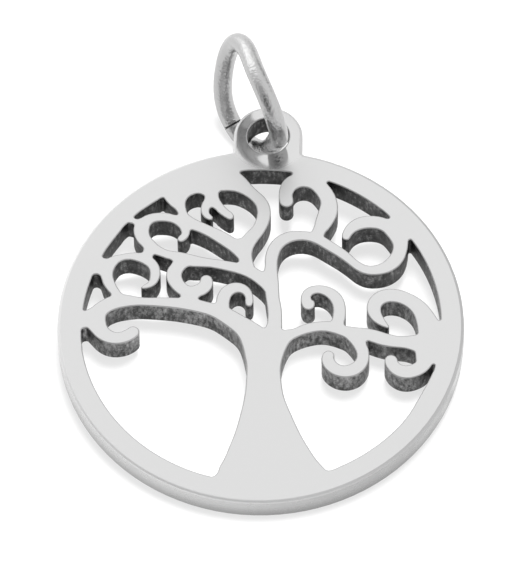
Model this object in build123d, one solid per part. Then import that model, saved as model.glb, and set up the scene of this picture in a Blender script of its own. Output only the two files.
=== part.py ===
from build123d import *
import os
from math import asin, atan2, cos, degrees, pi, radians, sin

from numpy import append, array, cumsum, hypot, interp, linspace, roll
from scipy.interpolate import CubicSpline

# Tree of life pendant in polished steel: a pierced disc cut from one plate, with
# its lug, and the jump ring that hangs in the lug.
# Millimetres. The plate is drawn flat, face up, with its centre at the origin and
# the lug towards +Y. As it lies, the ring's lowest part props the lug end, so both
# pieces are then tilted together and set down on the plane z = 0.

# The plate
disc_diameter = 20.0
plate_thickness = 1.4
rim_width = 1.1
twig_width = 0.6
trunk_waist = 1.65
beam_width = 0.16
corner_softness = 0.06
# Polishing draws the face's edges back by this much. The widths below and the
# rim's are those that are left of the flat face, and the metal is wider by this.
edge_draw = 0.03

# The lug and its hole
lug_wall = 0.67
lug_reach = 0.86
lug_root_radius = 0.15
hole_play = 1.15

# The jump ring. The seat gap is the height left free under the plate, and the foot
# is the middle of the wire's run through the hole.
wire_diameter = 0.95
ring_diameter = 5.88
ring_joint_gap = 0.06
ring_seat_gap = 0.22
ring_foot_play = 0.235

# How the ring stands in the hole, degrees: the way that it faces, its lean, and
# the place of its joint along the wire, counted from the far side over the top
ring_facing = 29.8
ring_lean = -5.8
ring_joint_angle = 286.0
# The side of the hole that the foot is on, degrees from +X
ring_foot_direction = -56.0

# A ring closed by hand is a little out of round. Each row is a wave round the
# wire: how many times it repeats, its height as a share of the ring's radius, and
# the angle of its first crest. The first two lie in the ring's plane.
#             waves, height, crest angle
ring_oval = (2, 0.105, -66.0)
ring_egg = (3, 0.107, 23.0)
ring_bend = (2, 0.128, 36.0)

# Steps used where a smooth curve is worked out, the turns in radians
fine_step = beam_width / 4
long_step = twig_width
turn_step = 0.42
beam_turn = 0.4
stations_per_row = 6
cap_steps = 8
window_steps = 300
ring_stations = 32

disc_radius = disc_diameter / 2
window_radius = disc_radius - rim_width
beam_radius = beam_width / 2
beam_margin = beam_radius + edge_draw
hole_diameter = wire_diameter + hole_play
lug_width = hole_diameter + 2 * lug_wall
ring_radius = ring_diameter / 2
hole_centre_y = disc_radius + lug_reach

# The trunk: height, left side and right side. Heights are shares of the disc's
# radius from its centre, and the sides are shares of the waist from its middle.
trunk_lean = 0.025
#    height, left,  right
trunk = [
    (-0.934, -1.70, 2.70),
    (-0.894, -1.46, 2.45),
    (-0.854, -1.25, 2.16),
    (-0.804, -1.16, 1.92),
    (-0.754, -1.05, 1.66),
    (-0.704, -0.95, 1.46),
    (-0.604, -0.76, 1.12),
    (-0.504, -0.63, 0.85),
    (-0.404, -0.53, 0.61),
    (-0.304, -0.50, 0.50),
    (-0.224, -0.51, 0.47),
    (-0.154, -0.60, 0.54),
]

# The twigs: each runs from its root to its tip, which is round. Places are shares
# of the disc's radius from its centre, and widths are shares of the twig width.
#        across, up,    width
twigs = {
    "low_bough_left": [
        (0.018, -0.244, 2.50),
        (0.003, -0.144, 2.60),
        (-0.037, -0.064, 2.20),
        (-0.092, -0.009, 1.62),
        (-0.147, 0.030, 1.45),
        (-0.207, 0.066, 1.28),
        (-0.267, 0.086, 1.08),
        (-0.337, 0.103, 1.10),
        (-0.417, 0.111, 0.92),
        (-0.517, 0.114, 0.77),
        (-0.617, 0.115, 0.77),
        (-0.692, 0.114, 1.20),
        (-0.752, 0.093, 1.21),
        (-0.807, 0.046, 1.30),
        (-0.887, -0.004, 1.40),
    ],
    "low_hook_left": [
        (-0.847, 0.066, 2.10),
        (-0.817, 0.006, 1.83),
        (-0.792, -0.049, 1.33),
        (-0.747, -0.089, 1.13),
        (-0.702, -0.097, 1.02),
        (-0.657, -0.084, 1.00),
        (-0.627, -0.060, 1.00),
    ],
    "lowest_scroll_left": [
        (-0.687, 0.116, 0.86),
        (-0.723, 0.163, 0.68),
        (-0.757, 0.216, 0.88),
        (-0.769, 0.276, 0.92),
        (-0.745, 0.337, 0.88),
        (-0.699, 0.363, 0.52),
        (-0.637, 0.371, 0.70),
        (-0.580, 0.354, 0.83),
        (-0.541, 0.318, 0.80),
        (-0.531, 0.266, 0.75),
        (-0.543, 0.224, 0.58),
        (-0.567, 0.204, 0.38),
        (-0.590, 0.194, 0.20),
    ],
    "rim_web_left": [
        (-0.737, 0.311, 1.10),
        (-0.787, 0.316, 1.25),
        (-0.837, 0.323, 1.50),
        (-0.897, 0.331, 1.80),
    ],
    "scroll_web_left": [
        (-0.580, 0.341, 0.60),
        (-0.574, 0.376, 0.82),
        (-0.567, 0.411, 0.80),
        (-0.563, 0.446, 0.80),
    ],
    "upper_web_left": [
        (-0.587, 0.536, 0.80),
        (-0.632, 0.568, 0.50),
        (-0.677, 0.579, 0.42),
        (-0.737, 0.596, 0.80),
    ],
    "low_gap_top": [
        (-0.881, 0.210, 0.50),
        (-0.869, 0.254, 0.60),
        (-0.828, 0.285, 0.60),
        (-0.783, 0.265, 0.60),
        (-0.774, 0.229, 0.50),
    ],
    "rim_swell_left": [
        (-0.876, -0.155, 0.02),
        (-0.889, 0.031, 0.22),
        (-0.864, 0.215, 0.34),
        (-0.786, 0.418, 0.34),
        (-0.710, 0.536, 0.24),
        (-0.661, 0.596, 0.10),
        (-0.590, 0.666, 0.20),
        (-0.498, 0.738, 0.22),
        (-0.333, 0.825, 0.02),
    ],
    "middle_bough_left": [
        (0.053, 0.186, 0.90),
        (0.003, 0.251, 1.05),
        (-0.057, 0.296, 1.05),
        (-0.117, 0.317, 0.92),
        (-0.197, 0.334, 0.82),
        (-0.277, 0.346, 0.78),
        (-0.357, 0.355, 1.05),
        (-0.417, 0.373, 0.93),
        (-0.477, 0.387, 0.72),
        (-0.526, 0.409, 0.80),
        (-0.574, 0.445, 1.00),
        (-0.605, 0.494, 1.17),
        (-0.605, 0.548, 1.20),
        (-0.572, 0.587, 0.85),
        (-0.512, 0.602, 0.76),
        (-0.452, 0.592, 0.72),
        (-0.409, 0.561, 0.70),
        (-0.390, 0.519, 0.63),
        (-0.412, 0.478, 0.52),
    ],
    "hanging_scroll_left": [
        (-0.367, 0.351, 0.90),
        (-0.421, 0.318, 1.10),
        (-0.438, 0.266, 1.20),
        (-0.417, 0.216, 1.10),
        (-0.362, 0.176, 1.06),
        (-0.314, 0.185, 1.10),
        (-0.280, 0.217, 1.07),
        (-0.277, 0.244, 0.97),
    ],
    "small_scroll_left": [
        (-0.187, 0.066, 1.00),
        (-0.191, 0.131, 1.03),
        (-0.173, 0.182, 1.00),
        (-0.123, 0.208, 0.88),
        (-0.078, 0.188, 0.70),
        (-0.062, 0.151, 0.57),
        (-0.062, 0.120, 0.56),
    ],
    "upright_bough": [
        (-0.067, 0.296, 1.00),
        (-0.082, 0.346, 1.05),
        (-0.092, 0.406, 1.10),
        (-0.077, 0.471, 1.15),
        (-0.044, 0.521, 1.05),
        (-0.014, 0.584, 1.03),
        (-0.006, 0.641, 1.03),
        (-0.022, 0.699, 0.98),
        (-0.061, 0.742, 0.92),
        (-0.105, 0.780, 1.20),
        (-0.169, 0.818, 1.90),
        (-0.257, 0.816, 1.85),
        (-0.342, 0.791, 1.50),
        (-0.417, 0.761, 1.40),
    ],
    "crossing_bough": [
        (-0.087, 0.366, 0.90),
        (-0.127, 0.426, 1.05),
        (-0.187, 0.476, 1.12),
        (-0.247, 0.513, 1.00),
        (-0.307, 0.543, 0.90),
        (-0.365, 0.573, 0.92),
        (-0.405, 0.621, 0.62),
        (-0.422, 0.661, 0.92),
        (-0.442, 0.701, 1.50),
        (-0.447, 0.756, 2.30),
    ],
    "lobe_top_left": [
        (-0.415, 0.671, 0.50),
        (-0.412, 0.711, 0.60),
        (-0.385, 0.746, 0.60),
        (-0.343, 0.763, 0.60),
        (-0.309, 0.751, 0.50),
    ],
    "scroll_gap_foot": [
        (-0.184, 0.495, 0.40),
        (-0.158, 0.477, 0.50),
        (-0.122, 0.471, 0.50),
        (-0.089, 0.493, 0.50),
        (-0.069, 0.528, 0.40),
    ],
    "bough_gap_foot": [
        (-0.044, -0.020, 0.40),
        (-0.020, -0.042, 0.50),
        (0.014, -0.046, 0.50),
        (0.041, -0.018, 0.50),
        (0.046, 0.025, 0.40),
    ],
    "upper_twig_outer": [
        (-0.267, 0.776, 1.30),
        (-0.264, 0.718, 1.02),
        (-0.240, 0.679, 0.80),
        (-0.207, 0.643, 0.68),
        (-0.174, 0.616, 0.60),
    ],
    "upper_twig_inner": [
        (-0.272, 0.736, 0.90),
        (-0.290, 0.684, 0.73),
        (-0.299, 0.646, 0.63),
        (-0.290, 0.619, 0.52),
        (-0.272, 0.605, 0.42),
    ],
    "long_bough_right": [
        (0.073, -0.124, 1.50),
        (0.069, 0.006, 1.10),
        (0.064, 0.096, 1.07),
        (0.053, 0.156, 1.03),
        (0.048, 0.216, 1.08),
        (0.041, 0.286, 1.03),
        (0.039, 0.356, 0.97),
        (0.046, 0.416, 1.00),
        (0.077, 0.474, 0.98),
        (0.128, 0.507, 0.92),
        (0.188, 0.515, 0.80),
        (0.258, 0.500, 0.83),
        (0.318, 0.464, 0.83),
        (0.398, 0.409, 0.77),
        (0.448, 0.364, 0.68),
        (0.503, 0.330, 0.75),
        (0.553, 0.327, 0.83),
        (0.618, 0.353, 1.03),
        (0.661, 0.406, 1.12),
        (0.675, 0.471, 1.15),
        (0.658, 0.536, 1.52),
        (0.598, 0.588, 1.18),
        (0.528, 0.604, 1.12),
        (0.463, 0.590, 1.03),
        (0.422, 0.556, 0.83),
        (0.405, 0.517, 0.65),
    ],
    "top_hook": [
        (0.243, 0.491, 0.85),
        (0.267, 0.536, 1.00),
        (0.286, 0.581, 1.25),
        (0.309, 0.646, 1.50),
        (0.314, 0.706, 1.32),
        (0.288, 0.771, 1.25),
        (0.208, 0.832, 1.18),
        (0.128, 0.818, 1.28),
        (0.100, 0.766, 1.10),
        (0.103, 0.712, 1.10),
    ],
    "low_bough_right": [
        (0.033, -0.244, 2.30),
        (0.053, -0.174, 2.00),
        (0.078, -0.114, 1.75),
        (0.123, -0.064, 1.28),
        (0.168, -0.043, 0.80),
        (0.213, -0.021, 0.83),
        (0.273, -0.004, 0.83),
        (0.343, -0.002, 0.92),
        (0.413, -0.024, 0.95),
        (0.513, -0.036, 1.00),
        (0.593, -0.060, 1.15),
        (0.663, -0.076, 1.02),
        (0.733, -0.079, 1.22),
        (0.823, -0.089, 2.40),
        (0.903, -0.094, 3.20),
    ],
    "low_scroll_right": [
        (0.373, -0.009, 0.90),
        (0.381, 0.041, 1.00),
        (0.385, 0.096, 0.95),
        (0.367, 0.158, 0.97),
        (0.320, 0.199, 0.83),
        (0.268, 0.209, 0.70),
        (0.226, 0.188, 0.72),
        (0.217, 0.154, 0.78),
        (0.230, 0.124, 1.03),
    ],
    "low_hook_right": [
        (0.413, -0.024, 0.90),
        (0.461, -0.060, 1.00),
        (0.495, -0.109, 1.00),
        (0.508, -0.159, 0.93),
        (0.497, -0.207, 1.00),
        (0.460, -0.242, 1.07),
        (0.411, -0.252, 1.02),
        (0.364, -0.233, 1.00),
        (0.337, -0.194, 0.98),
        (0.338, -0.166, 0.90),
    ],
    "far_hook_right": [
        (0.857, -0.084, 1.82),
        (0.814, -0.154, 1.60),
        (0.799, -0.208, 1.18),
        (0.758, -0.238, 1.13),
        (0.713, -0.246, 1.12),
        (0.666, -0.224, 1.03),
        (0.646, -0.184, 1.00),
    ],
    "rim_swell_right": [
        (0.881, -0.175, 0.02),
        (0.862, -0.235, 0.12),
        (0.841, -0.300, 0.26),
        (0.816, -0.355, 0.28),
        (0.771, -0.445, 0.18),
        (0.720, -0.523, 0.04),
    ],
    "foot_corner_right": [
        (0.284, -0.764, 0.40),
        (0.307, -0.802, 0.60),
        (0.347, -0.829, 0.60),
        (0.392, -0.824, 0.50),
        (0.430, -0.803, 0.30),
    ],
    "foot_corner_left": [
        (-0.266, -0.863, 0.30),
        (-0.231, -0.878, 0.50),
        (-0.189, -0.876, 0.60),
        (-0.164, -0.839, 0.50),
        (-0.158, -0.795, 0.30),
    ],
    "far_scroll_right": [
        (0.853, -0.054, 2.60),
        (0.815, 0.046, 1.65),
        (0.773, 0.121, 1.30),
        (0.713, 0.167, 1.15),
        (0.638, 0.186, 1.17),
        (0.576, 0.164, 1.15),
        (0.553, 0.116, 1.10),
        (0.565, 0.068, 0.95),
        (0.595, 0.031, 0.62),
        (0.624, 0.007, 0.22),
    ],
}


def outline_face(points):
    """Return the flat face inside the straight lines through the points."""
    return Face(Wire.make_polygon([Vector(*point) for point in points], close=True))


def along(rows):
    """Return a smooth curve through the rows of a table, and the stations on it."""
    places = array(rows)
    reach = [0.0]
    for here, there in zip(places, places[1:]):
        reach.append(reach[-1] + hypot(*(there - here)[:2]))
    stations = linspace(0, reach[-1], stations_per_row * len(rows))
    return CubicSpline(reach, places), stations


def trunk_face():
    """Return the flat shape of the trunk, wider by the beam's margin on each side."""
    curve, stations = along([(disc_radius * row[0], 0, row[1], row[2]) for row in trunk])
    middle = trunk_lean * disc_radius
    left = []
    right = []
    for height, _, left_side, right_side in curve(stations):
        left.append((middle + trunk_waist * left_side - beam_margin, height))
        right.append((middle + trunk_waist * right_side + beam_margin, height))
    return outline_face(left + right[::-1])


def twig_face(rows):
    """Return the flat shape of a twig, wider by the beam's margin all round."""
    curve, stations = along(
        [(disc_radius * x, disc_radius * y, twig_width * width) for x, y, width in rows]
    )
    left = []
    right = []
    for (x, y, width), (dx, dy, _) in zip(curve(stations), curve(stations, 1)):
        side = (width / 2 + beam_margin) / hypot(dx, dy)
        left.append((x - dy * side, y + dx * side))
        right.append((x + dy * side, y - dx * side))
    # The last side step, turned about the tip, goes round its end
    tip = []
    for step in range(1, cap_steps):
        turn = -pi * step / cap_steps
        tip.append(
            (
                x - dy * side * cos(turn) - dx * side * sin(turn),
                y + dx * side * cos(turn) - dy * side * sin(turn),
            )
        )
    return outline_face(left + tip + right[::-1])


def corner_loop(path):
    """Return the corners of a face with straight edges, in order round it."""
    follows = {}
    for edge in path.outer_wire().edges():
        start, end = [tuple(round(c, 5) for c in edge @ t)[:2] for t in (0, 1)]
        follows.setdefault(start, []).append(end)
        follows.setdefault(end, []).append(start)
    first = next(iter(follows))
    loop = [first]
    here = first
    there = follows[first][0]
    while there != first:
        loop.append(there)
        ahead = [corner for corner in follows[there] if corner != here]
        here, there = there, ahead[0]
    return loop


def cut_by_beam(path):
    """Return the corners of the gap that the beam opens as it goes round the path."""
    corners = corner_loop(path)
    after = corners[1:] + corners[:1]
    if sum(a[0] * b[1] - a[1] * b[0] for a, b in zip(corners, after)) < 0:
        corners = corners[::-1]
        after = corners[1:] + corners[:1]
    gap = []
    for before, here, there in zip(corners[-1:] + corners, corners, after):
        heading = atan2(here[1] - before[1], here[0] - before[0])
        turn = atan2(there[1] - here[1], there[0] - here[0]) - heading
        turn = (turn + pi) % (2 * pi) - pi
        # Outside a sharp corner of the path, the beam leaves its own round edge
        steps = max(1, round(turn / beam_turn))
        reach = beam_radius if steps > 1 else beam_radius / cos(turn / 2)
        for step in range(steps):
            outward = heading - pi / 2 + turn * (step + 0.5) / steps
            gap.append((here[0] + reach * cos(outward), here[1] + reach * sin(outward)))
    return array(gap)


def resampled(points, spacing):
    """Return an even number of points along a closed line, one for each unit."""
    closed = append(points, points[:1], axis=0)
    reach = append([0.0], cumsum(spacing))
    stops = linspace(0, reach[-1], 2 * max(6, round(reach[-1] / 2)), endpoint=False)
    return array([interp(stops, reach, closed[:, axis]) for axis in range(2)]).T


def soft_outline(path):
    """Return a closed smooth edge round the gap that the beam cuts along a path."""
    points = cut_by_beam(path)
    points = resampled(points, hypot(*(roll(points, -1, axis=0) - points).T) / fine_step)
    # Each pass averages a point with its neighbours and spreads by half a step
    for _ in range(round(2 * (corner_softness / fine_step) ** 2)):
        points = (roll(points, 1, axis=0) + 2 * points + roll(points, -1, axis=0)) / 4
    # The edge is a chain of arcs, which needs fewer points where it is straight
    runs = roll(points, -1, axis=0) - points
    next_runs = roll(runs, -1, axis=0)
    lengths = hypot(*runs.T)
    swing = runs[:, 0] * next_runs[:, 1] - runs[:, 1] * next_runs[:, 0]
    turns = abs(swing) / (lengths * hypot(*next_runs.T))
    turns = (turns + roll(turns, 1)) / 2
    points = resampled(points, lengths / long_step + turns / turn_step)
    stops = [Vector(*point) for point in append(points, points[:1], axis=0)]
    return Wire([ThreePointArc(*stops[i : i + 3]) for i in range(0, len(points), 2)])


def openings():
    """Return the edges of the gaps between the twigs, the trunk and the rim."""
    turns = linspace(0, 2 * pi, window_steps, endpoint=False)
    reach = window_radius - beam_margin
    paths = outline_face([(reach * cos(a), reach * sin(a)) for a in turns])
    for wood in [trunk_face()] + [twig_face(rows) for rows in twigs.values()]:
        paths = paths - wood
    return [soft_outline(path) for path in paths.faces() if path.area > beam_width**2]


def tree_disc():
    """Return the plate: the disc with its tree, and the lug with its hole."""
    lug = Pos(0, hole_centre_y) * Circle(lug_width / 2)
    neck = Pos(0, hole_centre_y / 2) * Rectangle(lug_width, hole_centre_y)
    blank = Circle(disc_radius) + lug + neck
    roots = [
        corner
        for corner in blank.vertices()
        if abs(hypot(corner.X, corner.Y) - disc_radius) < lug_root_radius
    ]
    blank = fillet(roots, lug_root_radius)
    hole = Pos(0, hole_centre_y) * Circle(hole_diameter / 2)
    cut_plate = Face(blank.wires()[0], [hole.wire()] + openings())
    return extrude(cut_plate, -plate_thickness).solid()


def wave(row, angle):
    """Return a wave's height at an angle round the ring, as a share of its radius."""
    repeats, height, crest = row
    return height * cos(radians(repeats * (angle - crest)))


def ring_point(angle):
    """Return a point on the ring's centre line, about the ring's own centre."""
    facing = radians(ring_facing)
    lean = radians(ring_lean)
    normal = Vector(cos(lean) * cos(facing), cos(lean) * sin(facing), sin(lean))
    level = Vector(0, 0, 1).cross(normal).normalized()
    upward = normal.cross(level)
    spoke = ring_radius * (1 + wave(ring_oval, angle) + wave(ring_egg, angle))
    turn = radians(angle)
    return (
        level * (spoke * cos(turn))
        + upward * (spoke * sin(turn))
        + normal * (ring_radius * wave(ring_bend, angle))
    )


def ring_centre():
    """Return where the ring's centre is, from its lowest part and its foot."""
    lowest = min(ring_point(angle).Z for angle in range(360))
    height = -plate_thickness - ring_seat_gap - wire_diameter / 2 - lowest
    near_side = [ring_point(angle / 2) for angle in range(360, 540)]
    foot = min(near_side, key=lambda point: abs(point.Z + height + plate_thickness / 2))
    direction = radians(ring_foot_direction)
    return Vector(
        ring_foot_play * cos(direction) - foot.X,
        hole_centre_y + ring_foot_play * sin(direction) - foot.Y,
        height,
    )


def jump_ring():
    """Return the jump ring: round wire bent to meet itself at a fine joint."""
    half_gap = degrees(ring_joint_gap / ring_diameter)
    start = ring_joint_angle + half_gap
    angles = linspace(start, start + 360 - 2 * half_gap, ring_stations)
    centre = ring_centre()
    path = Spline(*[centre + ring_point(angle) for angle in angles])
    section = Plane(origin=path @ 0, z_dir=path % 0) * Circle(wire_diameter / 2)
    return sweep(section, path=path).solid()


def resting_tilt():
    """Return the angle at which the ring's lowest part props up the lug end."""
    centre = ring_centre()
    tilts = []
    for angle in range(360):
        spot = centre + ring_point(angle)
        away = disc_radius + spot.Y
        below = -plate_thickness - spot.Z
        tilts.append(atan2(below, away) + asin(wire_diameter / 2 / hypot(away, below)))
    return degrees(max(tilts))


def set_down(pieces):
    """Tilt the pieces as they lie and stand them on z = 0, centred on the origin."""
    tilted = [Rot(X=resting_tilt()) * piece for piece in pieces]
    box = tilted[0].bounding_box().add(tilted[1].bounding_box())
    middle = box.center()
    return [Pos(-middle.X, -middle.Y, -box.min.Z) * piece for piece in tilted]


nodes = dict(zip(("tree_disc", "jump_ring"), set_down([tree_disc(), jump_ring()])))
os.makedirs("parts", exist_ok=True)
for name, piece in nodes.items():
    export_step(piece, f"parts/{name}.step")
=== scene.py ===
"""Looks of the tree of life pendant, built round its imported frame."""

from math import atan2, cos, pi, radians, sin

import bmesh
import bpy
from bpy.props import FloatProperty, FloatVectorProperty, PointerProperty
from bpy.types import Operator, Panel, PropertyGroup
from mathutils import Matrix, Vector
from mathutils.bvhtree import BVHTree


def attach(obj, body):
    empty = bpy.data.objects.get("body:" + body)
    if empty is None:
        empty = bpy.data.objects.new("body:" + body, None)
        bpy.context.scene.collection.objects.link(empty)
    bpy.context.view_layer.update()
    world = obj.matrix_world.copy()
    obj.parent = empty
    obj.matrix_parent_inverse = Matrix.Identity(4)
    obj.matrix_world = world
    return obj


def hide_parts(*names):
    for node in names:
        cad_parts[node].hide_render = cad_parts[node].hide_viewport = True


bl_info = {
    "name": "Tree of Life Pendant",
    "version": (1, 0, 0),
    "blender": (4, 5, 0),
    "location": "3D View > Sidebar > Pendant",
    "description": "Steel tree of life pendant on a jump ring",
    "category": "Add Mesh",
}

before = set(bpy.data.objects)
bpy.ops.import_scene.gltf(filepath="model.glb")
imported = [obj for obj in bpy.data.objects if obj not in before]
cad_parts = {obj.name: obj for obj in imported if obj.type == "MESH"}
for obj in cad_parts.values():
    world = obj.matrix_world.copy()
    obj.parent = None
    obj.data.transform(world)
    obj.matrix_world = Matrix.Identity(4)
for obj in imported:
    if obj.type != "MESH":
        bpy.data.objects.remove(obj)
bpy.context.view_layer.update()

# Sizes

MM = 0.001
# Corners of the frame's loose triangles nearer than this are one corner
MERGE_DISTANCE = 0.0005 * MM
DISC_RADIUS = 10 * MM
# The lug's hole: how far it is up from the disc's centre, and how wide
HOLE_UP = 10.86 * MM
HOLE_RADIUS = 1.05 * MM
# From the hole, the mirror polish is full to the first of these and gone at the second
POLISH_FULL = 0.4 * MM
POLISH_GONE = 1.3 * MM
# The painted light and shade on the outline and the outer side: palest up to the first of
# these places across, darkest from the second
PAINTED_LIGHT_ACROSS = -6 * MM
PAINTED_SHADE_ACROSS = 9 * MM
# The cut walls have their full oxide and painted shade from this far up from the disc's
# centre, and below the centre they are this much lighter, with less of both
OXIDE_AND_SHADE_UP = 4 * MM
OXIDE_AND_SHADE_LIGHTENING = 0.12
# Shades of the cut walls at which the oxide is darkest, usual and almost gone
OXIDE_DARKEST, OXIDE_USUAL, OXIDE_GONE = 0.14, 0.28, 0.6

# Soft edges

# Faces that round a soft edge
EASE_STEPS = 3
# Least cosine between the plate's normal and that of a face of its flat front
FRONT_COSINE = 0.99
# A soft edge takes at most this share of the metal's width
EASE_SHARE = 0.36
# How much wider a soft edge may be at a corner than it is, on average, beside it
EASE_RISE = 0.004 * MM
EASE_PASSES = 4
# The metal's width is measured from this far inside its wall, up to this width
JUST_INSIDE = 0.002 * MM
WIDEST_METAL = 20 * MM
# Least cosine of half a corner's turn, which keeps the mitre of a sharp one short
MITRE_COSINE = 0.6
# Places of the materials in the plate's list, after the face's, and in the ring's
EDGE, RIM, SIDE, WALL = range(1, 5)
RING_END = 1

# The ring's joint

# Share of the gap in the CAD ring's joint that its two ends close
JOINT_CLOSURE = 0.9
# Neighbouring faces that turn more than this meet in a sharp edge
SHARP_TURN = radians(50)

# Stage

# Brighter and darker patches of the tent: the middle, in degrees from +Y towards +X
# and in degrees above the floor; how far round that the patch is full and where it
# ends, in degrees; and what it adds, as a share of the tent's strength
TENT_PATCHES = (
    (-48, 4, 4, 24, 0.8),
    (-28, 24, 4, 24, 0.8),
    (32, 6, 5, 26, -0.6),
    (-140, 35, 25, 75, -0.5),
    (-150, 38, 4, 22, -0.42),
)
KEY_WIDTH = 145 * MM
KEY_PLACE = (24 * MM, 66 * MM, 330 * MM)
# The camera's aim, across and up from the disc's centre as the camera sees it
AIM_ACROSS = 0.064 * MM
AIM_UP = 1.715 * MM
# How far the camera is turned round the plate's normal, and rolled on its own axis
CAMERA_TURN = radians(2.74)
CAMERA_ROLL = -0.01538


def largest_face_normal(mesh):
    """Return the upward normal of a mesh's largest triangle."""
    largest = max(mesh.polygons, key=lambda face: face.area)
    return largest.normal.copy() if largest.normal.z > 0 else -largest.normal


plate_normal = largest_face_normal(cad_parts["tree_disc"].data)
plate_tilt = atan2(-plate_normal.y, plate_normal.z)


def disc_centre():
    """Return the centre of the disc's front, a radius in from its lowest edge."""
    corners = [v.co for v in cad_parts["tree_disc"].data.vertices]
    front = max(corner.dot(plate_normal) for corner in corners)
    along = Vector((0, cos(plate_tilt), sin(plate_tilt)))
    foot = min(corner.dot(along) for corner in corners)
    return along * (foot + DISC_RADIUS) + plate_normal * front


plate_centre = disc_centre()
# How far the disc's centre is from the origin, measured along the plate
plate_middle = plate_centre.y * cos(plate_tilt) + plate_centre.z * sin(plate_tilt)

# Colours


def linear(colour):
    """Return a colour written as sRGB hex as linear red, green and blue."""
    channels = [int(colour[start : start + 2], 16) / 255 for start in (1, 3, 5)]
    return [
        level / 12.92 if level <= 0.04045 else ((level + 0.055) / 1.055) ** 2.4
        for level in channels
    ]


def opaque(colour):
    """Return a colour with an alpha of one."""
    return (*colour, 1)


def colour_property(name, description, colour):
    """Return a colour setting with its default written as sRGB hex."""
    return FloatVectorProperty(
        name=name,
        description=description,
        subtype="COLOR",
        size=3,
        min=0,
        max=1,
        default=linear(colour),
    )


# Materials

# Places of the Mix node's colour sockets
MIX_A, MIX_B, MIX_RESULT = 6, 7, 2


def add_node(tree, kind, sockets=None, **settings):
    """Add a node, set its properties, and set or link its inputs."""
    node = tree.nodes.new(kind)
    for name, value in settings.items():
        setattr(node, name, value)
    for place, value in (sockets or {}).items():
        socket = node.inputs[place]
        if isinstance(value, bpy.types.NodeSocket):
            tree.links.new(value, socket)
        else:
            socket.default_value = value
    return node


def new_material(name):
    """Return an empty material and its node tree."""
    material = bpy.data.materials.new(name)
    material.use_nodes = True
    material.node_tree.nodes.clear()
    return material, material.node_tree


def finish_material(tree, shader):
    """Link a shader to the material's output."""
    add_node(tree, "ShaderNodeOutputMaterial", {"Surface": shader.outputs[0]})


def random_grains(tree, place, widths, detail=2.0):
    """Return a random pattern whose grains are as wide as the given lengths."""
    scaled = add_node(
        tree,
        "ShaderNodeMapping",
        {"Vector": place, "Scale": [1 / width for width in widths]},
    )
    texture = add_node(
        tree,
        "ShaderNodeTexNoise",
        {"Vector": scaled.outputs[0], "Scale": 1.0, "Detail": detail},
    )
    return texture.outputs["Fac"]


def along_plate(tree):
    """Return Object coordinates turned to lie along the plate, with Z = 0 on its front."""
    place = add_node(tree, "ShaderNodeTexCoord").outputs["Object"]
    turned = add_node(
        tree,
        "ShaderNodeMapping",
        {
            "Vector": place,
            "Rotation": (-plate_tilt, 0, 0),
            "Location": (0, 0, -plate_centre.dot(plate_normal)),
        },
    )
    return turned.outputs[0]


def painted_shade_rightwards(tree, light_colour, dark_colour):
    """Return a colour with painted light and shade, from light at the left to dark at the
    right.
    """
    across = add_node(tree, "ShaderNodeSeparateXYZ", {0: along_plate(tree)}).outputs["X"]
    painted_shade_share = add_node(
        tree,
        "ShaderNodeMapRange",
        {"Value": across, "From Min": PAINTED_LIGHT_ACROSS, "From Max": PAINTED_SHADE_ACROSS},
        interpolation_type="SMOOTHSTEP",
    )
    mixed = add_node(
        tree,
        "ShaderNodeMix",
        {
            "Factor": painted_shade_share.outputs[0],
            MIX_A: opaque(light_colour),
            MIX_B: opaque(dark_colour),
        },
        data_type="RGBA",
    )
    return mixed.outputs[MIX_RESULT]


def satin_steel_face(settings):
    """Stainless steel plate, tumbled and buffed: a pale satin with a mirror-bright lug."""
    material, tree = new_material("satin_steel_face")
    # Buffing dishes the face round the lug's hole, which bends what it mirrors
    from_hole = add_node(
        tree,
        "ShaderNodeVectorMath",
        {0: along_plate(tree), 1: (0, plate_middle + HOLE_UP, 0)},
        operation="DISTANCE",
    )
    dish = add_node(
        tree,
        "ShaderNodeMapRange",
        {
            "Value": from_hole.outputs["Value"],
            "From Min": HOLE_RADIUS,
            "From Max": HOLE_RADIUS + settings.dish_width,
        },
        interpolation_type="SMOOTHSTEP",
    )
    bump = add_node(
        tree,
        "ShaderNodeBump",
        {"Height": dish.outputs[0], "Strength": 1.0, "Distance": settings.dish_depth},
    )
    # Only the lug is buffed to a mirror: the disc keeps the tumbler's fine satin
    satin = add_node(
        tree,
        "ShaderNodeMapRange",
        {
            "Value": from_hole.outputs["Value"],
            "From Min": HOLE_RADIUS + POLISH_FULL,
            "From Max": HOLE_RADIUS + POLISH_GONE,
        },
        interpolation_type="SMOOTHSTEP",
    )
    roughness = add_node(
        tree,
        "ShaderNodeMapRange",
        {"Value": satin.outputs[0], "To Min": 0.08, "To Max": 0.4},
    )
    colour = add_node(
        tree,
        "ShaderNodeMix",
        {
            "Factor": satin.outputs[0],
            MIX_A: opaque(settings.lug_colour),
            MIX_B: opaque(settings.face_colour),
        },
        data_type="RGBA",
    )
    shader = add_node(
        tree,
        "ShaderNodeBsdfPrincipled",
        {
            "Base Color": colour.outputs[MIX_RESULT],
            "Metallic": 1.0,
            "Roughness": roughness.outputs[0],
            "Normal": bump.outputs[0],
        },
    )
    finish_material(tree, shader)
    return material


def tumbled_steel_edge(settings):
    """Stainless steel, rounded by tumbling: a matt edge with no hard glint."""
    material, tree = new_material("tumbled_steel_edge")
    shader = add_node(
        tree,
        "ShaderNodeBsdfPrincipled",
        {
            "Base Color": opaque(settings.soft_edge_colour),
            "Metallic": 1.0,
            "Roughness": 0.6,
        },
    )
    finish_material(tree, shader)
    return material


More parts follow.
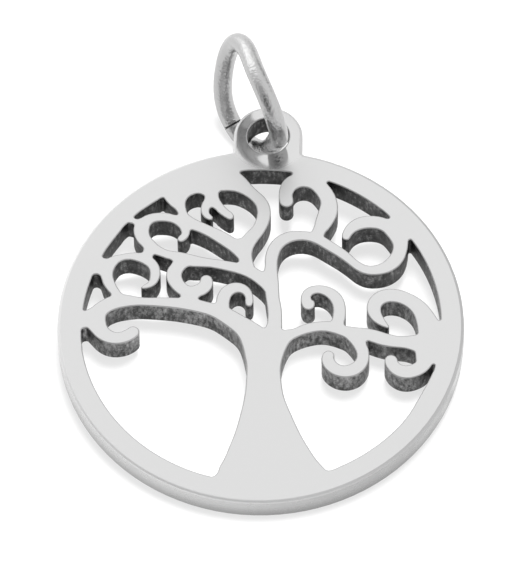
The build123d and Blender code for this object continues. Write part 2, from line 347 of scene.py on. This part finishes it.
def tumbled_steel_rim(settings):
    """Stainless steel, tumbled and rubbed at the outline: a wider, paler, matt edge."""
    material, tree = new_material("tumbled_steel_rim")
    # Painted light and shade: a little brighter at the left and darker at the right
    colour = painted_shade_rightwards(
        tree, settings.rim_painted_light_colour, settings.rim_painted_shade_colour
    )
    shader = add_node(
        tree,
        "ShaderNodeBsdfPrincipled",
        {"Base Color": colour, "Metallic": 1.0, "Roughness": 0.6},
    )
    finish_material(tree, shader)
    return material


def ground_steel_side(settings):
    """Stainless steel, ground and tumbled round the outside: a soft, cloudy grey."""
    material, tree = new_material("ground_steel_side")
    # Clouds about a millimetre long and half as high are left by the grinding
    clouds = random_grains(
        tree, along_plate(tree), (1.1 * MM, 1.1 * MM, 0.5 * MM), detail=1.0
    )
    roughness = add_node(
        tree,
        "ShaderNodeMapRange",
        {"Value": clouds, "From Min": 0.3, "From Max": 0.7, "To Min": 0.2, "To Max": 0.36},
    )
    # Painted shade: a little darker towards the right, and darker still near the back, for
    # the contact shadow by the floor
    across = painted_shade_rightwards(
        tree, settings.side_painted_light_colour, settings.side_painted_shade_colour
    )
    depth = add_node(tree, "ShaderNodeSeparateXYZ", {0: along_plate(tree)}).outputs["Z"]
    painted_contact_shade = add_node(
        tree,
        "ShaderNodeMapRange",
        {
            "Value": depth,
            "From Min": -1.35 * MM,
            "From Max": -0.6 * MM,
            "To Min": 0.82,
            "To Max": 1.0,
        },
    )
    colour = add_node(
        tree,
        "ShaderNodeVectorMath",
        {0: across, "Scale": painted_contact_shade.outputs[0]},
        operation="SCALE",
    )
    shader = add_node(
        tree,
        "ShaderNodeBsdfPrincipled",
        {
            "Base Color": colour.outputs[0],
            "Metallic": 1.0,
            "Roughness": roughness.outputs[0],
        },
    )
    finish_material(tree, shader)
    return material


def laser_cut_steel_wall(settings):
    """Stainless steel as the beam leaves it: dark oxide, ribbed through the plate."""
    material, tree = new_material("laser_cut_steel_wall")
    place = along_plate(tree)
    # Stains 0.7 mm wide lie over ribs 0.15 mm apart and grains of 0.09 mm. Real grains
    # are a few hundredths of a millimetre wide, and are drawn this coarse to show
    stains = random_grains(tree, place, [0.7 * MM] * 3, detail=1.0)
    ribs = random_grains(tree, place, (0.15 * MM, 0.15 * MM, 0.4 * MM))
    grains = random_grains(tree, place, [0.09 * MM] * 3, detail=1.0)
    stained = add_node(
        tree, "ShaderNodeMath", {0: stains, 1: ribs}, operation="MULTIPLY"
    )
    grained = add_node(
        tree, "ShaderNodeMath", {0: ribs, 1: grains}, operation="MULTIPLY"
    )
    speckle = add_node(
        tree, "ShaderNodeMath", {0: stained.outputs[0], 1: grained.outputs[0]}
    )
    # Darkest on the fine work near the lug: partly oxide, heaviest where the heat gathers,
    # and partly painted shade for the narrow openings there, which catch less light
    separated = add_node(tree, "ShaderNodeSeparateXYZ", {0: place})
    less_oxide_and_shade = add_node(
        tree,
        "ShaderNodeMapRange",
        {
            "Value": separated.outputs["Y"],
            "From Min": plate_middle + OXIDE_AND_SHADE_UP,
            "From Max": plate_middle,
            "To Max": OXIDE_AND_SHADE_LIGHTENING,
        },
        interpolation_type="SMOOTHSTEP",
    )
    speckled = add_node(
        tree,
        "ShaderNodeMath",
        {0: speckle.outputs[0], 1: 0.5, 2: less_oxide_and_shade.outputs[0]},
        operation="MULTIPLY_ADD",
    )
    # Painted shade: the walls are darker towards the back and lighter near the front
    painted_depth_shade = add_node(
        tree,
        "ShaderNodeMapRange",
        {
            "Value": separated.outputs["Z"],
            "From Min": -1.3 * MM,
            "From Max": -0.1 * MM,
            "To Min": -0.028,
            "To Max": 0.014,
        },
    )
    shade = add_node(
        tree, "ShaderNodeMath", {0: speckled.outputs[0], 1: painted_depth_shade.outputs[0]}
    )
    oxide = add_node(tree, "ShaderNodeValToRGB", {"Fac": shade.outputs[0]})
    stops = oxide.color_ramp.elements
    darkest, lightest = stops
    darkest.position = OXIDE_DARKEST
    darkest.color = opaque(settings.wall_dark_colour)
    lightest.position = OXIDE_GONE
    lightest.color = opaque(settings.wall_light_colour)
    stops.new(OXIDE_USUAL).color = opaque(settings.wall_middle_colour)
    bump = add_node(
        tree,
        "ShaderNodeBump",
        {"Height": speckle.outputs[0], "Strength": 0.5, "Distance": 0.03 * MM},
    )
    shader = add_node(
        tree,
        "ShaderNodeBsdfPrincipled",
        {
            "Base Color": oxide.outputs["Color"],
            "Metallic": 1.0,
            "Roughness": 0.5,
            "Normal": bump.outputs[0],
        },
    )
    finish_material(tree, shader)
    return material


def sheared_end_shade_and_dirt(settings):
    """Stainless wire at the joint: a dull end, made dark by painted shade for the shadow in
    the joint, and by dirt.
    """
    material, tree = new_material("sheared_end_shade_and_dirt")
    shader = add_node(
        tree,
        "ShaderNodeBsdfPrincipled",
        {"Base Color": opaque(settings.end_shade_and_dirt_colour), "Metallic": 1.0, "Roughness": 0.4},
    )
    finish_material(tree, shader)
    return material


def polished_steel_wire(settings):
    """Drawn stainless wire, buffed: bright, with slight ripples and fine pits."""
    material, tree = new_material("polished_steel_wire")
    place = add_node(tree, "ShaderNodeTexCoord").outputs["Object"]
    # Ripples half a millimetre long are left by the bending. Real pits are a few
    # hundredths of a millimetre wide, and are drawn at 0.12 mm to show
    ripples = random_grains(tree, place, [0.5 * MM] * 3, detail=0.0)
    pits = random_grains(tree, place, [0.12 * MM] * 3)
    rippled = add_node(
        tree,
        "ShaderNodeBump",
        {"Height": ripples, "Strength": 0.6, "Distance": 0.05 * MM},
    )
    pitted = add_node(
        tree,
        "ShaderNodeBump",
        {
            "Height": pits,
            "Strength": 1.0,
            "Distance": 0.033 * MM,
            "Normal": rippled.outputs[0],
        },
    )
    shader = add_node(
        tree,
        "ShaderNodeBsdfPrincipled",
        {
            "Base Color": opaque(settings.wire_colour),
            "Metallic": 1.0,
            "Roughness": 0.19,
            "Normal": pitted.outputs[0],
        },
    )
    finish_material(tree, shader)
    return material


# Meshes


def merged_copy(node):
    """Return a bmesh of a CAD node with its loose triangles joined."""
    mesh = bmesh.new()
    mesh.from_mesh(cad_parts[node].data)
    bmesh.ops.remove_doubles(mesh, verts=mesh.verts, dist=MERGE_DISTANCE)
    return mesh


def finished_piece(name, mesh, materials, node):
    """Make an object of a bmesh, in place of a CAD node."""
    data = bpy.data.meshes.new(name)
    mesh.to_mesh(data)
    mesh.free()
    data.shade_smooth()
    for material in materials:
        data.materials.append(material)
    piece = bpy.data.objects.new(name, data)
    bpy.context.scene.collection.objects.link(piece)
    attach(piece, "root")
    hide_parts(node)
    return piece


def shade_by_facing(piece):
    """Shade each corner as it was made to face, so that the flats stay flat."""
    facing = piece.data.attributes["facing"].data
    piece.data.normals_split_custom_set_from_vertices([corner.vector for corner in facing])


def loops_of(edges):
    """Return the closed loops that the edges make."""
    left = dict.fromkeys(edges)
    loops = []
    while left:
        loop = [left.popitem()[0]]
        corners = list(loop[0].verts)
        while corners:
            for edge in corners.pop().link_edges:
                if edge in left:
                    del left[edge]
                    loop.append(edge)
                    corners.extend(edge.verts)
        loops.append(loop)
    return loops


def keep_front(mesh, settings):
    """Strip the plate to its flat front, and return how thick it was.

    Each corner of the outline keeps its home, the way into the metal, how far the
    soft edge reaches there, which is less where the metal is thin, and whether it is
    on the outside.
    """
    home = mesh.verts.layers.float_vector.new("home")
    inward = mesh.verts.layers.float_vector.new("inward")
    ease = mesh.verts.layers.float.new("ease")
    outside = mesh.verts.layers.int.new("outside")
    walls = BVHTree.FromBMesh(mesh)
    levels = [corner.co.dot(plate_normal) for corner in mesh.verts]
    thickness = max(levels) - min(levels)
    flat = {face for face in mesh.faces if face.normal.dot(plate_normal) > FRONT_COSINE}
    outline = {
        edge
        for edge in mesh.edges
        if len([face for face in edge.link_faces if face in flat]) == 1
    }
    for edge in outline:
        face = next(face for face in edge.link_faces if face in flat)
        side = plate_normal.cross(edge.verts[1].co - edge.verts[0].co).normalized()
        if side.dot(face.calc_center_median() - edge.verts[0].co) < 0:
            side = -side
        for corner in edge.verts:
            corner[inward] += side
    corners = {corner for edge in outline for corner in edge.verts}
    longest = max(loops_of(outline), key=lambda loop: sum(e.calc_length() for e in loop))
    for edge in longest:
        for corner in edge.verts:
            corner[outside] = 1
    for corner in corners:
        corner[home] = corner.co
        way = corner[inward].normalized()
        middle = corner.co - plate_normal * (thickness / 2) + way * JUST_INSIDE
        metal = walls.ray_cast(middle, way, WIDEST_METAL)[3] or WIDEST_METAL
        softness = settings.rim_softness if corner[outside] else settings.edge_softness
        corner[ease] = min(softness, EASE_SHARE * metal)
        # The corner of two sides is further in than either side
        corner[inward] = way / max(MITRE_COSINE, corner[inward].length / 2)
    for _ in range(EASE_PASSES):
        eased = {}
        for corner in corners:
            beside = [e.other_vert(corner)[ease] for e in corner.link_edges if e in outline]
            eased[corner] = min(corner[ease], sum(beside) / len(beside) + EASE_RISE)
        for corner, reach in eased.items():
            corner[ease] = reach
    spare = [face for face in mesh.faces if face not in flat]
    bmesh.ops.delete(mesh, geom=spare, context="FACES")
    return thickness


def place_row(mesh, corners, turn, depth, sign=1):
    """Move a row of corners to its place on a soft edge, turned so far round it.

    The depth is that of the flat beside the edge, and the sign is -1 at the back.
    """
    home = mesh.verts.layers.float_vector["home"]
    inward = mesh.verts.layers.float_vector["inward"]
    ease = mesh.verts.layers.float["ease"]
    facing = mesh.verts.layers.float_vector["facing"]
    for corner in corners:
        reach = corner[ease]
        sunk = depth + sign * reach * (1 - cos(turn))
        across = corner[inward] * (reach * (1 - sin(turn)))
        corner.co = corner[home] + across - plate_normal * sunk
        way = corner[inward].normalized()
        corner[facing] = sign * cos(turn) * plate_normal - sin(turn) * way


def build_plate(settings):
    """Return the plate's bmesh: flat faces, soft edges and plain walls."""
    mesh = merged_copy("tree_disc")
    thickness = keep_front(mesh, settings)
    outside = mesh.verts.layers.int["outside"]
    facing = mesh.verts.layers.float_vector.new("facing")
    for corner in mesh.verts:
        corner[facing] = plate_normal
    edges = [edge for edge in mesh.edges if edge.is_boundary]
    turns = [pi / 2 * step / EASE_STEPS for step in range(EASE_STEPS + 1)]
    place_row(mesh, {corner for edge in edges for corner in edge.verts}, turns[0], 0)
    front = list(mesh.verts) + list(mesh.edges) + list(mesh.faces)
    back = bmesh.ops.duplicate(mesh, geom=front)["geom"]
    back_corners = [part for part in back if isinstance(part, bmesh.types.BMVert)]
    bmesh.ops.translate(mesh, verts=back_corners, vec=-thickness * plate_normal)
    for corner in back_corners:
        corner[facing] = -plate_normal
    # From the front's flat, down round its soft edge, and then from the wall's foot
    # round the back's
    rows = [(turn, 0, 1) for turn in turns[1:]]
    rows += [(turn, thickness, -1) for turn in turns[::-1]]
    for number, row in enumerate(rows):
        grown = bmesh.ops.extrude_edge_only(mesh, edges=edges)["geom"]
        corners = {part for part in grown if isinstance(part, bmesh.types.BMVert)}
        edges = [
            part
            for part in grown
            if isinstance(part, bmesh.types.BMEdge) and set(part.verts) <= corners
        ]
        place_row(mesh, corners, *row)
        # The wall is between the two soft edges. Outside, it and the back's soft edge
        # are both ground
        inner = WALL if number == EASE_STEPS else EDGE
        outer = RIM if number < EASE_STEPS else SIDE
        for part in grown:
            if isinstance(part, bmesh.types.BMFace):
                part.material_index = outer if part.verts[0][outside] else inner
    bmesh.ops.remove_doubles(mesh, verts=mesh.verts, dist=MERGE_DISTANCE)
    bmesh.ops.recalc_face_normals(mesh, faces=mesh.faces)
    return mesh


def build_ring(settings):
    """Return the ring's bmesh: its ends all but touch, with their edges eased."""
    mesh = merged_copy("jump_ring")
    rims = [
        edge
        for edge in mesh.edges
        if edge.is_manifold and edge.calc_face_angle() > SHARP_TURN
    ]
    ends = [
        list(dict.fromkeys(corner for edge in rim for corner in edge.verts))
        for rim in loops_of(rims)
    ]
    middles = [sum((c.co for c in end), Vector()) / len(end) for end in ends]
    for end, middle in zip(ends, middles):
        across = sum(middles, Vector()) / 2 - middle
        bmesh.ops.translate(mesh, verts=end, vec=across * JOINT_CLOSURE)
        for face in {face for corner in end for face in corner.link_faces}:
            if set(face.verts) <= set(end):
                face.material_index = RING_END
    eased = bmesh.ops.bevel(
        mesh,
        geom=rims,
        affect="EDGES",
        offset=settings.end_softness,
        segments=2,
        profile=0.5,
        material=-1,
    )
    # The eased edges of the ends take the joint's painted shade and dirt too
    for face in eased["faces"]:
        face.material_index = RING_END
    return mesh


# Settings


def length_property(name, description, default, least, most, precision=5):
    """Return a setting that holds a length."""
    return FloatProperty(
        name=name,
        description=description,
        subtype="DISTANCE",
        unit="LENGTH",
        min=least,
        max=most,
        precision=precision,
        default=default,
    )


class PendantPlateSettings(PropertyGroup):
    """The plate's edges and colours."""

    edge_softness: length_property(
        "Edge softness",
        "How far tumbling rounds the edges of the openings",
        0.055 * MM,
        0.01 * MM,
        0.3 * MM,
    )
    rim_softness: length_property(
        "Rim softness",
        "How far tumbling rounds the plate's outline, which it reaches best",
        0.15 * MM,
        0.01 * MM,
        0.3 * MM,
    )
    dish_width: length_property(
        "Dish width",
        "How far from the lug's hole the face is dished by buffing",
        0.8 * MM,
        0,
        2 * MM,
    )
    dish_depth: length_property(
        "Dish depth",
        "How deep the dish is at the hole",
        0.04 * MM,
        0,
        0.1 * MM,
        precision=6,
    )
    face_colour: colour_property(
        "Face colour", "Reflected colour of the satin faces", "#c9c9c9"
    )
    lug_colour: colour_property(
        "Lug colour", "Reflected colour of the mirror polish on the lug", "#c3c3c3"
    )
    soft_edge_colour: colour_property(
        "Soft edge colour", "Reflected colour of the openings' soft edges", "#b1b1b1"
    )
    # Painted light and shade: the outline's soft edge is brighter at the left, darker at
    # the right
    rim_painted_light_colour: colour_property(
        "Rim, light", "Reflected colour of the outline's soft edge at the left", "#d6d6d6"
    )
    rim_painted_shade_colour: colour_property(
        "Rim, dark", "Reflected colour of the outline's soft edge at the right", "#b4b4b4"
    )
    # Painted light and shade: the outer side is lighter at the left, darker at the right
    side_painted_light_colour: colour_property(
        "Side, light", "Reflected colour of the outer side at the left", "#bdbdbd"
    )
    side_painted_shade_colour: colour_property(
        "Side, dark", "Reflected colour of the outer side at the right", "#9c9c9c"
    )
    wall_dark_colour: colour_property(
        "Cut wall, dark", "Darkest colour of the cut walls' oxide", "#292929"
    )
    wall_middle_colour: colour_property(
        "Cut wall, middle", "Usual colour of the cut walls' oxide", "#464646"
    )
    wall_light_colour: colour_property(
        "Cut wall, light", "Colour of the walls where little oxide is left", "#a8a8a8"
    )


class PendantRingSettings(PropertyGroup):
    """The jump ring's ends and colours."""

    end_softness: length_property(
        "End softness",
        "How far the ends of the wire are rounded at the joint",
        0.05 * MM,
        0.01 * MM,
        0.2 * MM,
    )
    # Painted shade and dirt that darken the ring's joint
    end_shade_and_dirt_colour: colour_property(
        "End colour", "Reflected colour of the sheared ends", "#5a5a5a"
    )
    wire_colour: colour_property(
        "Wire colour", "Reflected colour of the polished wire", "#ababab"
    )


class PendantStageSettings(PropertyGroup):
    """The floor, the light and the camera."""

    floor_colour: colour_property("Floor colour", "Colour of the floor", "#747474")
    floor_glow: FloatProperty(
        name="Floor glow",
        description="Light that the floor gives off itself, like a light table",
        min=0,
        max=2,
        default=0.69,
    )
    tent_strength: FloatProperty(
        name="Tent strength",
        description="Brightness of the white tent round the pendant",
        min=0,
        max=4,
        default=1.35,
    )
    key_strength: FloatProperty(
        name="Key light power",
        description="Power of the soft light above the lug",
        subtype="POWER",
        unit="POWER",
        min=0,
        max=10,
        default=3.0,
    )
    camera_elevation: FloatProperty(
        name="Camera elevation",
        description="Angle of the camera above the plate's face",
        subtype="ANGLE",
        unit="ROTATION",
        min=0,
        max=pi / 2,
        default=radians(59.70),
    )
    camera_distance: length_property(
        "Camera distance", "Distance of the camera from its aim", 0.4, 0.1, 2
    )
    lens: FloatProperty(
        name="Lens",
        description="Focal length on a sensor 36 mm long, in millimetres",
        min=50,
        max=1200,
        default=505.84,
    )


# Operators


class PENDANT_OT_tree_disc(Operator):
    """Add the plate with its tree, in place of its CAD solid"""

    bl_idname = "pendant.tree_disc"
    bl_label = "Add Tree Disc"

    def execute(self, context):
        settings = context.scene.pendant_plate
        materials = [
            satin_steel_face(settings),
            tumbled_steel_edge(settings),
            tumbled_steel_rim(settings),
            ground_steel_side(settings),
            laser_cut_steel_wall(settings),
        ]
        mesh = build_plate(settings)
        piece = finished_piece(
            "polished_tree_disc", mesh, materials, "tree_disc"
        )
        shade_by_facing(piece)
        return {"FINISHED"}


class PENDANT_OT_jump_ring(Operator):
    """Add the jump ring, in place of its CAD solid"""

    bl_idname = "pendant.jump_ring"
    bl_label = "Add Jump Ring"

    def execute(self, context):
        settings = context.scene.pendant_ring
        materials = [polished_steel_wire(settings), sheared_end_shade_and_dirt(settings)]
        mesh = build_ring(settings)
        finished_piece("polished_jump_ring", mesh, materials, "jump_ring")
        return {"FINISHED"}


class PENDANT_OT_stage(Operator):
    """Add the floor, the white tent, the soft light and the camera"""

    bl_idname = "pendant.stage"
    bl_label = "Add Stage"

    def execute(self, context):
        settings = context.scene.pendant_stage
        self.add_floor(context.scene, settings)
        self.add_tent(context.scene, settings)
        self.add_key_light(context.scene, settings)
        self.add_camera(context.scene, settings)
        return {"FINISHED"}

    def add_floor(self, scene, settings):
        """Add the floor: a sheet of opal acrylic, matt and softly lit from below."""
        material, tree = new_material("opal_acrylic")
        matt = add_node(
            tree, "ShaderNodeBsdfDiffuse", {"Color": opaque(settings.floor_colour)}
        )
        glow = add_node(tree, "ShaderNodeEmission", {"Strength": settings.floor_glow})
        both = add_node(
            tree, "ShaderNodeAddShader", {0: matt.outputs[0], 1: glow.outputs[0]}
        )
        finish_material(tree, both)
        mesh = bmesh.new()
        bmesh.ops.create_grid(mesh, x_segments=1, y_segments=1, size=2.0)
        data = bpy.data.meshes.new("floor")
        mesh.to_mesh(data)
        mesh.free()
        data.materials.append(material)
        floor = bpy.data.objects.new("floor", data)
        scene.collection.objects.link(floor)

    def add_tent(self, scene, settings):
        """Surround the pendant with white light that differs from side to side."""
        world = bpy.data.worlds.new("white_tent")
        world.use_nodes = True
        tree = world.node_tree
        tree.nodes.clear()
        place = add_node(tree, "ShaderNodeTexCoord").outputs["Generated"]
        strength = settings.tent_strength
        for turn, rise, full, end, change in TENT_PATCHES:
            level = cos(radians(rise))
            towards = (
                level * sin(radians(turn)),
                level * cos(radians(turn)),
                sin(radians(rise)),
            )
            nearness = add_node(
                tree,
                "ShaderNodeVectorMath",
                {0: place, 1: towards},
                operation="DOT_PRODUCT",
            )
            patch = add_node(
                tree,
                "ShaderNodeMapRange",
                {
                    "Value": nearness.outputs["Value"],
                    "From Min": cos(radians(end)),
                    "From Max": cos(radians(full)),
                    "To Max": change * settings.tent_strength,
                },
                interpolation_type="SMOOTHSTEP",
            )
            strength = add_node(
                tree, "ShaderNodeMath", {0: strength, 1: patch.outputs[0]}
            ).outputs[0]
        tent = add_node(
            tree, "ShaderNodeBackground", {"Color": (1, 1, 1, 1), "Strength": strength}
        )
        add_node(tree, "ShaderNodeOutputWorld", {"Surface": tent.outputs[0]})
        scene.world = world

    def add_key_light(self, scene, settings):
        """Add the soft light high above the lug, which the steel doesn't mirror."""
        light = bpy.data.lights.new("key_light", "AREA")
        light.shape = "DISK"
        light.size = KEY_WIDTH
        light.energy = settings.key_strength
        lamp = bpy.data.objects.new("key_light", light)
        lamp.location = KEY_PLACE
        lamp.visible_glossy = False
        lamp.rotation_euler = lamp.location.to_track_quat("Z", "Y").to_euler()
        scene.collection.objects.link(lamp)

    def add_camera(self, scene, settings):
        """Add the camera of the photograph, before the tree's foot and above it."""
        data = bpy.data.cameras.new("camera")
        data.lens = settings.lens
        data.sensor_fit = "AUTO"
        data.sensor_width = 36.0
        data.clip_start = 0.05
        data.clip_end = 10.0
        rise = settings.camera_elevation
        back = Vector((0, -cos(rise), sin(rise)))
        right = Vector((1, 0, 0))
        up = Vector((0, sin(rise), cos(rise)))
        aim = right * AIM_ACROSS + up * AIM_UP
        roll_cos, roll_sin = cos(CAMERA_ROLL), sin(CAMERA_ROLL)
        rolled_right = right * roll_cos + up * roll_sin
        rolled_up = up * roll_cos - right * roll_sin
        turned = Matrix((rolled_right, rolled_up, back)).transposed().to_4x4()
        turned.translation = back * settings.camera_distance + aim
        plate_place = (
            Matrix.Translation(plate_centre)
            @ Matrix.Rotation(plate_tilt, 4, "X")
            @ Matrix.Rotation(CAMERA_TURN, 4, "Z")
        )
        camera = bpy.data.objects.new("camera", data)
        camera.matrix_world = plate_place @ turned
        scene.collection.objects.link(camera)
        scene.camera = camera
        scene.view_settings.view_transform = "Standard"
        scene.view_settings.look = "None"


class PENDANT_PT_panel(Panel):
    """The pendant's pieces and their settings."""

    bl_label = "Tree of Life Pendant"
    bl_idname = "PENDANT_PT_panel"
    bl_space_type = "VIEW_3D"
    bl_region_type = "UI"
    bl_category = "Pendant"

    def draw(self, context):
        layout = self.layout
        groups = (
            (PENDANT_OT_tree_disc, context.scene.pendant_plate),
            (PENDANT_OT_jump_ring, context.scene.pendant_ring),
            (PENDANT_OT_stage, context.scene.pendant_stage),
        )
        for operator, settings in groups:
            box = layout.box()
            box.operator(operator.bl_idname)
            for name in settings.bl_rna.properties.keys():
                if name not in {"rna_type", "name"}:
                    box.prop(settings, name)


SETTINGS = {
    "pendant_plate": PendantPlateSettings,
    "pendant_ring": PendantRingSettings,
    "pendant_stage": PendantStageSettings,
}
CLASSES = (
    *SETTINGS.values(),
    PENDANT_OT_tree_disc,
    PENDANT_OT_jump_ring,
    PENDANT_OT_stage,
    PENDANT_PT_panel,
)


def register():
    """Register the classes and give the scene its settings."""
    for one in CLASSES:
        bpy.utils.register_class(one)
    for name, group in SETTINGS.items():
        setattr(bpy.types.Scene, name, PointerProperty(type=group))


def unregister():
    """Take the settings and the classes away again."""
    for name in SETTINGS:
        delattr(bpy.types.Scene, name)
    for one in reversed(CLASSES):
        bpy.utils.unregister_class(one)


def main():
    """Build the pendant and its stage."""
    register()
    bpy.ops.pendant.tree_disc()
    bpy.ops.pendant.jump_ring()
    bpy.ops.pendant.stage()


if __name__ == "__main__":
    main()
